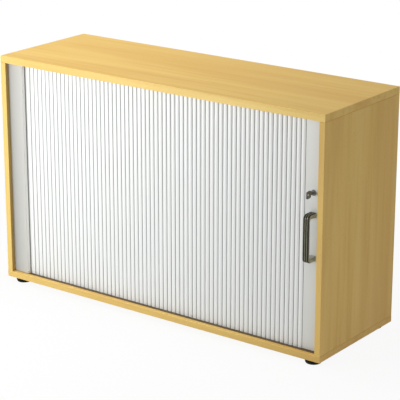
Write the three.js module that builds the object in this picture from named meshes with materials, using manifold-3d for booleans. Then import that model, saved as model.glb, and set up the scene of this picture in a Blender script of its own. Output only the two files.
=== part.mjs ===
// Low office cabinet with a sideways running tambour door: a curtain of upright slats slides in a
// track at its top and its bottom, turns round the front left corner, and runs along the left side
// and the back between the carcass and its inner walls.
//
// Millimetres, +Z up, the front looks towards -Y. The origin lies on the floor, under the middle
// of everything that stands in the cabinet's outline, its handle and key included.

import * as THREE from 'three';
import { mergeVertices } from 'three/addons/utils/BufferGeometryUtils.js';
import Module from 'manifold-3d';

const wasm = await Module();
wasm.setup();

// Overall size, standing on its feet
const cabinetWidth = 1200;
const cabinetDepth = 400;
const cabinetHeight = 748;

// Boards of the carcass
const topThickness = 22;
const boardThickness = 19;
const innerWallThickness = 16;
const thinBoardThickness = 8;
const boardEase = 0.75;
const backInset = 2;
const backGrooveDepth = 6;

// Clearance between two pieces that are joined or rest on each other
const seatGap = 0.25;
// Clearance between two pieces that slide or turn on each other
const runningGap = 0.5;
// Clearance between the closed bar and the side panel that it closes against
const closingGap = 1.25;
// How far a cut runs out past the face that it opens
const overrun = 5;

// Path of the curtain in plan
const curtainRecess = 25;
const bendRadius = 60;
const sideRoom = 17;
const rearRoom = 18.75;
const rearRunEnd = 190;

// Slats
const slatPitch = 15.77;
const slatThickness = 7.5;
const slatCrown = 1.25;
const jointWidth = 2.25;
const webThickness = 1;
const slatEndPlay = 1;
const tailLength = 30;
const sectionCount = 5;

// Tracks
const grooveDepth = 8;
const trackWall = 1.5;
const trackLip = 1.75;
const lipThickness = 1;
const frontLipInset = 14;
const trackEndWall = 4;

// Left fascia
const fasciaWidth = 56.25;
const fasciaThickness = 11;
const fasciaRound = 1;

// Closing bar
const barWidth = 56.25;
const barDepth = 19;
const barRound = 1.5;
const flangeThickness = 3;
const flangeEndInset = 3.75;
const barEndGap = 1;
const runnerInset = 2;
const pegRadius = 1.75;
const pegLength = 8;
const pegSpacing = 36;

// Handle
const handleHeight = 382.5;
const handleHoleSpacing = 128;
const legThickness = 15;
const legTaper = 2.5;
const handleReach = 36;
const handleWidth = 20;
const gripThickness = 6;
const handleOuterRound = 13;
const handleInnerRound = 7;
const handleEase = 1.25;
const fluteWidth = 2.5;
const fluteDepth = 1.25;
const fluteSpacing = 6.5;
const handleScrewRadius = 2;
const handleScrewLength = 20;
const screwHeadRadius = 4;
const screwHeadHeight = 2.5;

// Lock
const lockRise = 128.5;
const sleeveRadius = 8.5;
const sleeveProud = 2.5;
const sleeveWall = 2;
const sleeveBevel = 0.5;
const plugInset = 0.25;
const driverRadius = 7.5;
const driverThickness = 2.25;
const driverPinRadius = 1.5;
const driverPinTip = 1;
const caseWidth = 46;
const caseHeight = 44;
const caseDepth = 10;
const caseWall = 1.25;
const boltThickness = 3;
const boltHalfHeight = 7;
const boltInset = 0.5;
const boltTail = 14;
const boltThrow = 8;
const boltCarrierTop = 10;
const boltCarrierReach = 8;
const boltPlay = 1;
const strikeThickness = 1.5;
const strikeWidth = 20;
const strikeHeight = 50;
const strikePocketRoom = 4;

// Key
const keyBladeThickness = 1.4;
const keyBladeHeight = 7.5;
const keyBladeLength = 11.5;
const keyNeckLength = 12;
const keyBowLength = 23;
const keyBowHeight = 22;
const keyBowRound = 5.5;
const keyBowThickness = 2.5;
const keyRingRadius = 3.2;

// Inside of the cabinet
const interiorFrontGap = 3;
const innerBackGap = 2.75;
const shelfThickness = 19;
const shelfSideGap = 2;
const shelfFrontInset = 4;
const pinHoleRadius = 2.75;
const pinHoleDepth = 8;
const pinHolePitch = 32;
const pinRowMargin = 240;
const pinRowInset = 37;
const pinRadius = 2.35;
const pinReach = 8;
const pinCollarRadius = 4;
const pinCollarThickness = 1.25;
const stopHeight = 40;
const stopDepth = 10;
const stopInset = 1;

// Feet, screws and dowels
const footHeight = 16;
const footTopRadius = 26;
const footBottomRadius = 23.5;
const footRound = 2;
const footInsetX = 41;
const footInsetY = 32;
const footBoreRadius = 2.6;
const footWellRadius = 7;
const footWellDepth = 8;
const footScrewRadius = 2.25;
const footScrewHeadRadius = 5;
const footScrewHeadHeight = 3;
const footScrewHold = 8;
const dowelRadius = 4;
const dowelInPanel = 11;
const dowelInSide = 19;
const dowelInset = 80;

// Facets of round work: an arc gets twice as many as its divisions
const bendDivisions = 6;
const handleDivisions = 4;
const smallDivisions = 3;
const roundSides = 24;
const pinSides = 10;
const ringSides = 16;
const holeSides = 8;

// Lowest share of one more slat that makes room for it
const countSlackShare = 0.01;
// Shares of a screw's own sizes: how far its head is rounded, and how wide its blunt tip is
const screwShares = { headRound: 0.35, headEdge: 0.5, tip: 0.35 };

// Heights of the carcass
const floorTop = footHeight + boardThickness;
const ceiling = cabinetHeight - topThickness;
const sideLow = floorTop + seatGap;
const sideHigh = ceiling - seatGap;

// Faces of the carcass
const halfWidth = cabinetWidth / 2;
const halfDepth = cabinetDepth / 2;
const innerFaceX = halfWidth - boardThickness;
const backRear = halfDepth - backInset;
const backFront = backRear - thinBoardThickness;

// Centre line of the curtain: front run, left bend, left run, rear bend, rear run
const curtainFront = -halfDepth + curtainRecess;
const runFrontY = curtainFront + slatThickness / 2;
const runRearY = backFront - rearRoom;
const bendX = -innerFaceX + sideRoom + bendRadius;
const frontBendY = runFrontY + bendRadius;
const rearBendY = runRearY - bendRadius;
const grooveHalf = slatThickness / 2 + runningGap;
const trackHalf = grooveHalf + trackWall;
const lipHalf = trackHalf + trackLip;
const trackBodyDepth = grooveDepth + trackWall;

// Slats end in the grooves of both tracks
const slatLow = floorTop - grooveDepth + slatEndPlay;
const slatHigh = ceiling + grooveDepth - slatEndPlay;
const slatLength = slatHigh - slatLow;
const lipLow = floorTop + seatGap + lipThickness;
const lipHigh = ceiling - seatGap - lipThickness;

// Closing bar
const barRight = innerFaceX - closingGap;
const barLeft = barRight - barWidth;
const barMiddle = (barLeft + barRight) / 2;
const barPlateBack = curtainFront + slatThickness;
const barBack = curtainFront + barDepth;
const barLow = lipLow + barEndGap;
const barHigh = lipHigh - barEndGap;

// Slats fill the front run from the closing bar to the bend
const slatCount = Math.floor((barLeft - jointWidth - bendX) / slatPitch + countSlackShare);
const firstJointX = barLeft - jointWidth / 2 - slatCount * slatPitch;

// Inner walls
const interiorFront = barBack + interiorFrontGap;
const innerBackRear = runRearY - lipHalf - innerBackGap;
const innerBackFront = innerBackRear - thinBoardThickness;
const innerWallRight = bendX;
const innerWallLeft = innerWallRight - innerWallThickness;
const partitionMiddle = (innerWallRight + innerFaceX) / 2;
const interiorHigh = ceiling - seatGap;
const interiorLow = floorTop + seatGap;

// Lock, from its face on the bar to the back of its case. A quarter turn moves the bolt by the
// chord of the arc that the driver's pin runs through.
const lockHeight = handleHeight + lockRise;
const driverPinThrow = boltThrow / Math.SQRT2;
const driverPinOffset = boltThrow / 2;
const sleeveBore = sleeveRadius - sleeveWall;
const plugRadius = sleeveBore - seatGap;
const plugFront = curtainFront - sleeveProud + plugInset;
const caseFront = barPlateBack + seatGap;
const caseBack = caseFront + caseDepth;
const cavityFront = caseFront + caseWall;
const cavityBack = caseBack - caseWall;
const driverFront = cavityFront + seatGap;
const driverBack = driverFront + driverThickness;
const boltFront = driverBack + seatGap;
const boltBack = boltFront + boltThickness;
const boltRight = barRight - boltInset;
const boltMiddleY = (boltFront + boltBack) / 2;
const keyFront = plugFront - keyNeckLength - keyBowLength;

// The handle's grip and the key stand out in front of the carcass, so the cabinet is moved back
// by half of the larger reach, which puts the origin under the middle of the whole outline
const handleFront = curtainFront - seatGap - handleReach;
const frontReach = -halfDepth - Math.min(handleFront, keyFront);
const originShift = frontReach / 2;

const axisX = new THREE.Vector3(1, 0, 0);
const axisY = new THREE.Vector3(0, 1, 0);
const axisZ = new THREE.Vector3(0, 0, 1);

const boardMaterial = material(0xd8b16c, 0.5, 0);
const silverMaterial = material(0xd2d2cd, 0.42, 0.1);
const trackMaterial = material(0x3d3428, 0.55, 0);
const handleMaterial = material(0x57564b, 0.35, 0.85);
const lockMaterial = material(0x55544f, 0.35, 0.85);
const steelMaterial = material(0xb4b6b8, 0.35, 0.9);
const rubberMaterial = material(0x26262a, 0.8, 0);
const footMaterial = material(0x161616, 0.5, 0);
const dowelMaterial = material(0xc9a877, 0.8, 0);

function material(color, roughness, metalness) {
  return { color, roughness, metalness };
}

// A closed three.js geometry as a solid that can be cut and joined
function solidOf(geometry) {
  const bare = geometry.clone();
  bare.deleteAttribute('normal');
  bare.deleteAttribute('uv');
  const merged = mergeVertices(bare);
  const triVerts = [];
  for (let i = 0; i < merged.index.count; i += 3) {
    const corners = [0, 1, 2].map((k) => merged.index.getX(i + k));
    if (new Set(corners).size === 3) triVerts.push(...corners);
  }
  const vertProperties = merged.attributes.position.array;
  const mesh = new wasm.Mesh({ numProp: 3, vertProperties, triVerts: new Uint32Array(triVerts) });
  return new wasm.Manifold(mesh);
}

function geometryOf(solid) {
  const { vertProperties, triVerts } = solid.getMesh();
  const geometry = new THREE.BufferGeometry();
  geometry.setAttribute('position', new THREE.BufferAttribute(vertProperties, 3));
  geometry.setIndex(new THREE.BufferAttribute(triVerts, 1));
  geometry.computeVertexNormals();
  return geometry;
}

// Turns a geometry so that its own x and y point along the two given directions
function turned(geometry, xDirection, yDirection) {
  const zDirection = new THREE.Vector3().crossVectors(xDirection, yDirection);
  return geometry.applyMatrix4(new THREE.Matrix4().makeBasis(xDirection, yDirection, zDirection));
}

// A shape's outline without the points that lie on top of each other where two stretches meet
function outline(shape, divisions) {
  const points = shape.getPoints(divisions);
  const apart = (a, b) => a.distanceTo(b) > seatGap * countSlackShare;
  const kept = points.filter((p, i) => apart(p, points[(i + 1) % points.length]));
  return new THREE.Shape(kept);
}

function prism(shape, low, high, divisions = smallDivisions) {
  const depth = high - low;
  const geometry = new THREE.ExtrudeGeometry(outline(shape, divisions), { depth, bevelEnabled: false });
  return solidOf(geometry.translate(0, 0, low));
}

function block(low, high) {
  const [dx, dy, dz] = high.map((h, i) => h - low[i]);
  const geometry = new THREE.BoxGeometry(dx, dy, dz);
  return solidOf(geometry.translate(low[0] + dx / 2, low[1] + dy / 2, low[2] + dz / 2));
}

// A round rod from start, as long and in the direction that the axis and the length say
function rod(radius, start, axis, length, sides = roundSides) {
  const geometry = new THREE.CylinderGeometry(radius, radius, length, sides);
  geometry.translate(0, length / 2, 0);
  geometry.applyQuaternion(new THREE.Quaternion().setFromUnitVectors(axisY, axis));
  return solidOf(geometry.translate(...start));
}

// A turned piece: profile points are [radius, distance along the axis from start]
function turnedPiece(profile, start, axis, sides = roundSides) {
  const points = profile.map(([r, along]) => new THREE.Vector2(r, along));
  const geometry = new THREE.LatheGeometry(points, sides);
  geometry.applyQuaternion(new THREE.Quaternion().setFromUnitVectors(axisY, axis));
  return solidOf(geometry.translate(...start));
}

// A flat board between two corners. The arrises round its two faces are eased.
function board(low, high, thicknessAxis) {
  const size = high.map((h, i) => h - low[i]);
  const middle = high.map((h, i) => (h + low[i]) / 2);
  const faces = { x: [1, 2, 0], y: [2, 0, 1], z: [0, 1, 2] };
  const [u, v, w] = faces[thicknessAxis];
  const axes = [axisX, axisY, axisZ];
  const face = new THREE.Shape();
  face.moveTo(-size[u] / 2, -size[v] / 2);
  face.lineTo(size[u] / 2, -size[v] / 2);
  face.lineTo(size[u] / 2, size[v] / 2);
  face.lineTo(-size[u] / 2, size[v] / 2);
  const geometry = new THREE.ExtrudeGeometry(face, {
    depth: size[w] - 2 * boardEase,
    bevelThickness: boardEase,
    bevelSize: boardEase,
    bevelOffset: -boardEase,
    bevelSegments: 1,
  });
  geometry.translate(0, 0, boardEase - size[w] / 2);
  return solidOf(turned(geometry, axes[u], axes[v]).translate(...middle));
}

// A named mesh whose own origin is the given place. The solid is modelled in the cabinet's frame.
function piece(name, solid, look, place = [0, 0, 0]) {
  const mesh = new THREE.Mesh(
    geometryOf(solid).translate(-place[0], -place[1], -place[2]),
    new THREE.MeshStandardMaterial(look),
  );
  mesh.name = name;
  mesh.position.set(...place);
  return mesh;
}

// A named mesh of a solid that is modelled about its own origin
function copyAt(name, solid, look, place) {
  const mesh = new THREE.Mesh(geometryOf(solid), new THREE.MeshStandardMaterial(look));
  mesh.name = name;
  mesh.position.set(...place);
  return mesh;
}

function cut(solid, cutters) {
  return cutters.reduce((left, cutter) => left.subtract(cutter), solid);
}

// Plan outline of a strip that follows the curtain's path between two offsets from its centre
// line. A positive offset lies on the outside: towards the front, the left side and the back.
function pathStrip(inner, outer, frontEnd, rearEnd) {
  const strip = new THREE.Shape();
  const quarter = Math.PI / 2;
  strip.moveTo(frontEnd, runFrontY - outer);
  strip.lineTo(bendX, runFrontY - outer);
  strip.absarc(bendX, frontBendY, bendRadius + outer, 3 * quarter, 2 * quarter, true);
  strip.absarc(bendX, rearBendY, bendRadius + outer, 2 * quarter, quarter, true);
  strip.lineTo(rearEnd, runRearY + outer);
  strip.lineTo(rearEnd, runRearY + inner);
  strip.absarc(bendX, rearBendY, bendRadius + inner, quarter, 2 * quarter, false);
  strip.absarc(bendX, frontBendY, bendRadius + inner, 2 * quarter, 3 * quarter, false);
  strip.lineTo(frontEnd, runFrontY - inner);
  return strip;
}

// Lowest and highest of two heights measured from a board's face, up into it or down into it
function span(face, from, to, up) {
  const ends = [face + up * from, face + up * to];
  return [Math.min(...ends), Math.max(...ends)];
}

// One track, let into the face of the top panel (up 1) or of the bottom panel (up -1)
function track(face, up) {
  const end = innerFaceX - seatGap;
  const lipSpan = span(face, -seatGap, -seatGap - lipThickness, up);
  const bodySpan = span(face, -seatGap, trackBodyDepth, up);
  const grooveSpan = span(face, -overrun, grooveDepth, up);
  const lip = prism(pathStrip(-lipHalf, lipHalf, end, rearRunEnd), ...lipSpan, bendDivisions);
  const body = prism(pathStrip(-trackHalf, trackHalf, end, rearRunEnd), ...bodySpan, bendDivisions);
  const frontLip = block([-end, -halfDepth + frontLipInset, lipSpan[0]], [end, runFrontY, lipSpan[1]]);
  const grooveStrip = pathStrip(-grooveHalf, grooveHalf, end + overrun, rearRunEnd - trackEndWall);
  return lip.add(body).add(frontLip).subtract(prism(grooveStrip, ...grooveSpan, bendDivisions));
}

// The recess that a board holds a track in
function trackRecess(face, up) {
  const half = trackHalf + seatGap;
  const strip = pathStrip(-half, half, innerFaceX + overrun, rearRunEnd + seatGap);
  return prism(strip, ...span(face, -overrun, trackBodyDepth + seatGap, up), bendDivisions);
}

// The groove that holds the back panel's edge, cut over the given box of the cabinet
function backGroove(low, high) {
  return block(
    [low[0], backFront - seatGap, low[1]],
    [high[0], backRear + seatGap, high[1]],
  );
}

const dowelYs = [-halfDepth + dowelInset, halfDepth - dowelInset];
const dowelX = halfWidth - boardThickness / 2;

function dowelHoles(face, up, sideX) {
  const drillLength = dowelInPanel + seatGap + overrun;
  const start = face - up * overrun;
  return dowelYs.map((y) =>
    rod(dowelRadius + seatGap, [sideX, y, start], axisZ.clone().multiplyScalar(up), drillLength, pinSides),
  );
}

function topPanel() {
  const solid = board([-halfWidth, -halfDepth, ceiling], [halfWidth, halfDepth, cabinetHeight], 'z');
  const grooveEnd = innerFaceX + backGrooveDepth;
  const cutters = [
    trackRecess(ceiling, 1),
    backGroove([-grooveEnd, ceiling - overrun], [grooveEnd, ceiling + backGrooveDepth]),
    ...dowelHoles(ceiling, 1, -dowelX),
    ...dowelHoles(ceiling, 1, dowelX),
  ];
  return piece('top_panel', cut(solid, cutters), boardMaterial, [0, 0, ceiling]);
}

const footPlaces = {
  front_left: [-halfWidth + footInsetX, -halfDepth + footInsetY, 0],
  front_right: [halfWidth - footInsetX, -halfDepth + footInsetY, 0],
  rear_left: [-halfWidth + footInsetX, halfDepth - footInsetY, 0],
  rear_right: [halfWidth - footInsetX, halfDepth - footInsetY, 0],
};

function bottomPanel() {
  const solid = board([-halfWidth, -halfDepth, footHeight], [halfWidth, halfDepth, floorTop], 'z');
  const grooveEnd = innerFaceX + backGrooveDepth;
  const screwDepth = footScrewHold + seatGap + overrun;
  const screwHoles = Object.values(footPlaces).map(([x, y]) =>
    rod(footBoreRadius, [x, y, footHeight - overrun], axisZ, screwDepth, pinSides),
  );
  const cutters = [
    trackRecess(floorTop, -1),
    backGroove([-grooveEnd, floorTop - backGrooveDepth], [grooveEnd, floorTop + overrun]),
    ...dowelHoles(floorTop, -1, -dowelX),
    ...dowelHoles(floorTop, -1, dowelX),
    ...screwHoles,
  ];
  return piece('bottom_panel', cut(solid, cutters), boardMaterial, [0, 0, footHeight]);
}

// Holes in the ends of a side panel, for the dowels to the top and the bottom
function sideEndHoles(sideX) {
  const drillLength = dowelInSide + seatGap + overrun;
  const holes = [];
  for (const y of dowelYs) {
    holes.push(rod(dowelRadius + seatGap, [sideX, y, sideLow - overrun], axisZ, drillLength, pinSides));
    const start = [sideX, y, sideHigh + overrun - drillLength];
    holes.push(rod(dowelRadius + seatGap, start, axisZ, drillLength, pinSides));
  }
  return holes;
}

const pinHoleSpan = interiorHigh - interiorLow - 2 * pinRowMargin;
const pinHoleCount = Math.floor(pinHoleSpan / pinHolePitch + countSlackShare) + 1;
const pinRowStart = (interiorLow + interiorHigh - (pinHoleCount - 1) * pinHolePitch) / 2;
const pinRowYs = [interiorFront + pinRowInset, innerBackFront - pinRowInset];

// Two rows of shelf holes in a face at faceX. The holes run into the board, along -X or +X.
function shelfHoles(faceX, into) {
  const holes = [];
  for (const y of pinRowYs) {
    for (let i = 0; i < pinHoleCount; i += 1) {
      const start = [faceX - into * overrun, y, pinRowStart + i * pinHolePitch];
      const axis = axisX.clone().multiplyScalar(into);
      holes.push(rod(pinHoleRadius, start, axis, pinHoleDepth + overrun, holeSides));
    }
  }
  return holes;
}

function sideGroove(sideX) {
  const inside = sideX - Math.sign(sideX) * overrun;
  const deep = sideX + Math.sign(sideX) * (backGrooveDepth + seatGap);
  const ends = [Math.min(inside, deep), Math.max(inside, deep)];
  return backGroove([ends[0], sideLow - overrun], [ends[1], sideHigh + overrun]);
}

function leftSidePanel() {
  const solid = board([-halfWidth, -halfDepth, sideLow], [-innerFaceX, halfDepth, sideHigh], 'x');
  const cutters = [sideGroove(-innerFaceX), ...sideEndHoles(-dowelX)];
  return piece('left_side_panel', cut(solid, cutters), boardMaterial, [-innerFaceX, 0, sideLow]);
}

function rightSidePanel() {
  const solid = board([innerFaceX, -halfDepth, sideLow], [halfWidth, halfDepth, sideHigh], 'x');
  const strikeHalfY = strikeWidth / 2 + seatGap;
  const strikeHalfZ = strikeHeight / 2 + seatGap;
  const strikeRecess = block(
    [innerFaceX - overrun, boltMiddleY - strikeHalfY, lockHeight - strikeHalfZ],
    [innerFaceX + strikeThickness + seatGap, boltMiddleY + strikeHalfY, lockHeight + strikeHalfZ],
  );
  const pocketHalfY = boltThickness / 2 + boltPlay;
  const pocketHalfZ = boltHalfHeight + boltPlay;
  const boltPocket = block(
    [innerFaceX - overrun, boltMiddleY - pocketHalfY, lockHeight - pocketHalfZ],
    [innerFaceX + boltThrow + strikePocketRoom, boltMiddleY + pocketHalfY, lockHeight + pocketHalfZ],
  );
  const cutters = [
    sideGroove(innerFaceX),
    ...sideEndHoles(dowelX),
    ...shelfHoles(innerFaceX, 1),
    strikeRecess,
    boltPocket,
  ];
  return piece('right_side_panel', cut(solid, cutters), boardMaterial, [innerFaceX, 0, sideLow]);
}

function backPanel() {
  const reachX = innerFaceX + backGrooveDepth - seatGap;
  const low = [-reachX, backFront, floorTop - backGrooveDepth + seatGap];
  const high = [reachX, backRear, ceiling + backGrooveDepth - seatGap];
  return piece('back_panel', board(low, high, 'y'), boardMaterial, [0, backFront, floorTop]);
}

function innerBackPanel() {
  const low = [innerWallLeft, innerBackFront, interiorLow];
  const high = [innerFaceX - seatGap, innerBackRear, interiorHigh];
  return piece('inner_back_panel', board(low, high, 'y'), boardMaterial, [0, innerBackFront, floorTop]);
}

function innerLeftWall() {
  const low = [innerWallLeft, interiorFront, interiorLow];
  const high = [innerWallRight, innerBackFront - seatGap, interiorHigh];
  const solid = cut(board(low, high, 'x'), shelfHoles(innerWallRight, -1));
  return piece('inner_left_wall', solid, boardMaterial, [innerWallRight, 0, floorTop]);
}

function centrePartition() {
  const left = partitionMiddle - boardThickness / 2;
  const right = partitionMiddle + boardThickness / 2;
  const low = [left, interiorFront, interiorLow];
  const high = [right, innerBackFront - seatGap, interiorHigh];
  const holes = [...shelfHoles(left, 1), ...shelfHoles(right, -1)];
  return piece('centre_partition', cut(board(low, high, 'x'), holes), boardMaterial, [left, 0, floorTop]);
}

const pinLevel = pinRowStart + Math.floor(pinHoleCount / 2) * pinHolePitch;
const shelfLow = pinLevel + pinRadius + seatGap;

// A shelf between two faces, resting on four pins
function shelf(name, left, right) {
  const low = [left + shelfSideGap, interiorFront + shelfFrontInset, shelfLow];
  const high = [right - shelfSideGap, innerBackFront - shelfSideGap, shelfLow + shelfThickness];
  return piece(name, board(low, high, 'z'), boardMaterial, [left, interiorFront, shelfLow]);
}

// A shelf pin along +X: a shank in the hole, a collar at the board's face and a seat for the shelf.
// The shelf's side gap keeps the collar from the shelf's end.
function pinSolid() {
  const collarStart = pinHoleDepth;
  const collarEnd = collarStart + pinCollarThickness;
  const profile = [
    [0, 0],
    [pinRadius, 0],
    [pinRadius, collarStart],
    [pinCollarRadius, collarStart],
    [pinCollarRadius, collarEnd],
    [pinRadius, collarEnd],
    [pinRadius, collarEnd + pinReach],
    [0, collarEnd + pinReach],
  ];
  return turnedPiece(profile, [0, 0, 0], axisX, pinSides);
}

function shelfPins() {
  const solid = pinSolid();
  const turnedRound = solidOf(turned(geometryOf(solid), axisX.clone().negate(), axisY));
  const partitionLeft = partitionMiddle - boardThickness / 2;
  const partitionRight = partitionMiddle + boardThickness / 2;
  const inHole = pinHoleDepth - seatGap;
  const walls = {
    left_bay_left: [innerWallRight - inHole, solid],
    left_bay_right: [partitionLeft + inHole, turnedRound],
    right_bay_left: [partitionRight - inHole, solid],
    right_bay_right: [innerFaceX + inHole, turnedRound],
  };
  const pins = [];
  for (const [wall, [x, shape]] of Object.entries(walls)) {
    pins.push(copyAt(`shelf_pin_${wall}_front`, shape, steelMaterial, [x, pinRowYs[0], pinLevel]));
    pins.push(copyAt(`shelf_pin_${wall}_rear`, shape, steelMaterial, [x, pinRowYs[1], pinLevel]));
  }
  return pins;
}

// The strip that hides the left bend stands between the front lips of both tracks
function leftFascia() {
  const left = -innerFaceX + seatGap;
  const right = left + fasciaWidth;
  const low = lipLow + seatGap;
  const high = lipHigh - seatGap;
  const back = curtainFront;
  const front = back - fasciaThickness;
  const face = new THREE.Shape();
  face.moveTo(left, back);
  face.lineTo(left, front);
  face.lineTo(right - fasciaRound, front);
  face.absarc(right - fasciaRound, front + fasciaRound, fasciaRound, -Math.PI / 2, 0, false);
  face.lineTo(right, back);
  return piece('left_fascia', prism(face, low, high), silverMaterial, [left, back, low]);
}

// One crowned slat face, drawn from its left edge to its right edge in front of the groove
function crownedFace(shape, left) {
  const right = left + slatPitch - jointWidth;
  const half = (right - left) / 2;
  const radius = (half * half + slatCrown * slatCrown) / (2 * slatCrown);
  const reach = Math.asin(half / radius);
  const middle = -Math.PI / 2;
  shape.lineTo(left, webThickness / 2 - slatThickness / 2 + slatCrown);
  shape.absarc(left + half, radius - slatThickness / 2, radius, middle - reach, middle + reach, false);
  return right;
}

// A section of the curtain in plan, centred on the path: crowned slats joined by thin webs, with
// half a web at both ends. Each joint is open in front and behind, so the curtain bends both ways.
function curtainSection(index) {
  const first = Math.round((index * slatCount) / sectionCount);
  const last = Math.round(((index + 1) * slatCount) / sectionCount);
  const web = webThickness / 2;
  const back = slatThickness / 2;
  const stub = jointWidth / 2 - seatGap / 2;
  const edge = jointWidth / 2;
  const width = slatPitch - jointWidth;
  const count = last - first;
  const shape = new THREE.Shape();
  shape.moveTo(edge - stub, -web);
  for (let i = 0; i < count; i += 1) {
    const left = edge + i * slatPitch;
    shape.lineTo(left, -web);
    const right = crownedFace(shape, left);
    shape.lineTo(right, -web);
  }
  const end = count * slatPitch - edge + stub;
  shape.lineTo(end, -web);
  shape.lineTo(end, web);
  for (let i = count - 1; i >= 0; i -= 1) {
    const left = edge + i * slatPitch;
    shape.lineTo(left + width, web);
    shape.lineTo(left + width, back);
    shape.lineTo(left, back);
    shape.lineTo(left, web);
  }
  shape.lineTo(edge - stub, web);
  const place = [firstJointX + first * slatPitch, runFrontY, slatLow];
  return copyAt(`curtain_section_${index + 1}`, prism(shape, 0, slatLength), silverMaterial, place);
}

// The plain strip at the curtain's left end, which has started round the bend
function tailStrip() {
  const half = slatThickness / 2;
  const right = firstJointX - jointWidth / 2;
  const turn = (tailLength - (right - bendX)) / bendRadius;
  const start = -Math.PI / 2;
  const shape = new THREE.Shape();
  shape.moveTo(right, runFrontY - half);
  shape.lineTo(bendX, runFrontY - half);
  shape.absarc(bendX, frontBendY, bendRadius + half, start, start - turn, true);
  shape.absarc(bendX, frontBendY, bendRadius - half, start - turn, start, false);
  shape.lineTo(right, runFrontY + half);
  const web = block(
    [right - seatGap, runFrontY - webThickness / 2, slatLow],
    [firstJointX - seatGap / 2, runFrontY + webThickness / 2, slatHigh],
  );
  const solid = prism(shape, slatLow, slatHigh).add(web);
  return piece('curtain_tail_strip', solid, silverMaterial, [bendX, runFrontY, slatLow]);
}

// Places of the two pegs that hold a runner in the end of the bar
const pegXs = [barMiddle - pegSpacing / 2, barMiddle + pegSpacing / 2];

function leadingBar() {
  const section = new THREE.Shape();
  section.moveTo(barLeft, curtainFront + barRound);
  section.absarc(barLeft + barRound, curtainFront + barRound, barRound, Math.PI, 1.5 * Math.PI, false);
  section.absarc(barRight - barRound, curtainFront + barRound, barRound, 1.5 * Math.PI, 2 * Math.PI, false);
  section.lineTo(barRight, barBack);
  section.lineTo(barRight - flangeThickness, barBack);
  section.lineTo(barRight - flangeThickness, barPlateBack);
  section.lineTo(barLeft + flangeThickness, barPlateBack);
  section.lineTo(barLeft + flangeThickness, barBack);
  section.lineTo(barLeft, barBack);
  const web = block(
    [barLeft - jointWidth / 2 + seatGap / 2, runFrontY - webThickness / 2, barLow],
    [barLeft + seatGap, runFrontY + webThickness / 2, barHigh],
  );
  const lowEnd = block(
    [barLeft - overrun, barPlateBack, barLow - overrun],
    [barRight + overrun, barBack + overrun, barLow + flangeEndInset],
  );
  const highEnd = block(
    [barLeft - overrun, barPlateBack, barHigh - flangeEndInset],
    [barRight + overrun, barBack + overrun, barHigh + overrun],
  );
  const lockHoleStart = [barMiddle, curtainFront - overrun, lockHeight];
  const lockHole = rod(sleeveRadius + seatGap, lockHoleStart, axisY, barDepth);
  const slotHalfZ = boltHalfHeight + runningGap;
  const boltSlot = block(
    [barRight - flangeThickness - overrun, boltFront - runningGap, lockHeight - slotHalfZ],
    [barRight + overrun, boltBack + runningGap, lockHeight + slotHalfZ],
  );
  const screwHoles = handleScrewZs.map((z) =>
    rod(handleScrewRadius + seatGap, [barMiddle, curtainFront - overrun, z], axisY, barDepth, pinSides),
  );
  const pegHoleLength = pegLength + seatGap + overrun;
  const pegHoleLows = [barLow - overrun, barHigh + overrun - pegHoleLength];
  const pegHoles = pegXs.flatMap((x) =>
    pegHoleLows.map((z) =>
      rod(pegRadius + seatGap, [x, runFrontY, z], axisZ, pegHoleLength, pinSides),
    ),
  );
  const cutters = [lowEnd, highEnd, lockHole, boltSlot, ...screwHoles, ...pegHoles];
  const solid = cut(prism(section, barLow, barHigh).add(web), cutters);
  return piece('leading_bar', solid, silverMaterial, [barMiddle, curtainFront, barLow]);
}

// A plastic runner on one end of the bar: a tongue in the track's groove and two pegs in the bar
function runner(name, low, high, pegUp) {
  const left = barLeft + runnerInset;
  const right = barRight - runnerInset;
  const tongue = block([left, curtainFront, low], [right, barPlateBack, high]);
  const pegStart = pegUp ? high - seatGap : low + seatGap;
  const axis = pegUp ? axisZ : axisZ.clone().negate();
  const pegs = pegXs.map((x) => rod(pegRadius, [x, runFrontY, pegStart], axis, pegLength, pinSides));
  const solid = pegs.reduce((joined, peg) => joined.add(peg), tongue);
  return piece(name, solid, trackMaterial, [barMiddle, runFrontY, low]);
}

const handleScrewZs = [handleHeight - handleHoleSpacing / 2, handleHeight + handleHoleSpacing / 2];

// The handle seen from its side: distance in front of the bar, and height from its middle.
// inset moves the outer line inwards, which gives the floor of the flutes.
function handleOuterLine(shape, inset) {
  const half = handleHoleSpacing / 2 + legThickness / 2 - inset;
  const front = handleReach - inset;
  const round = handleOuterRound - inset;
  shape.moveTo(0, half);
  shape.lineTo(front - round, half);
  shape.absarc(front - round, half - round, round, Math.PI / 2, 0, true);
  shape.absarc(front - round, round - half, round, 0, -Math.PI / 2, true);
  shape.lineTo(0, -half);
}

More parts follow.
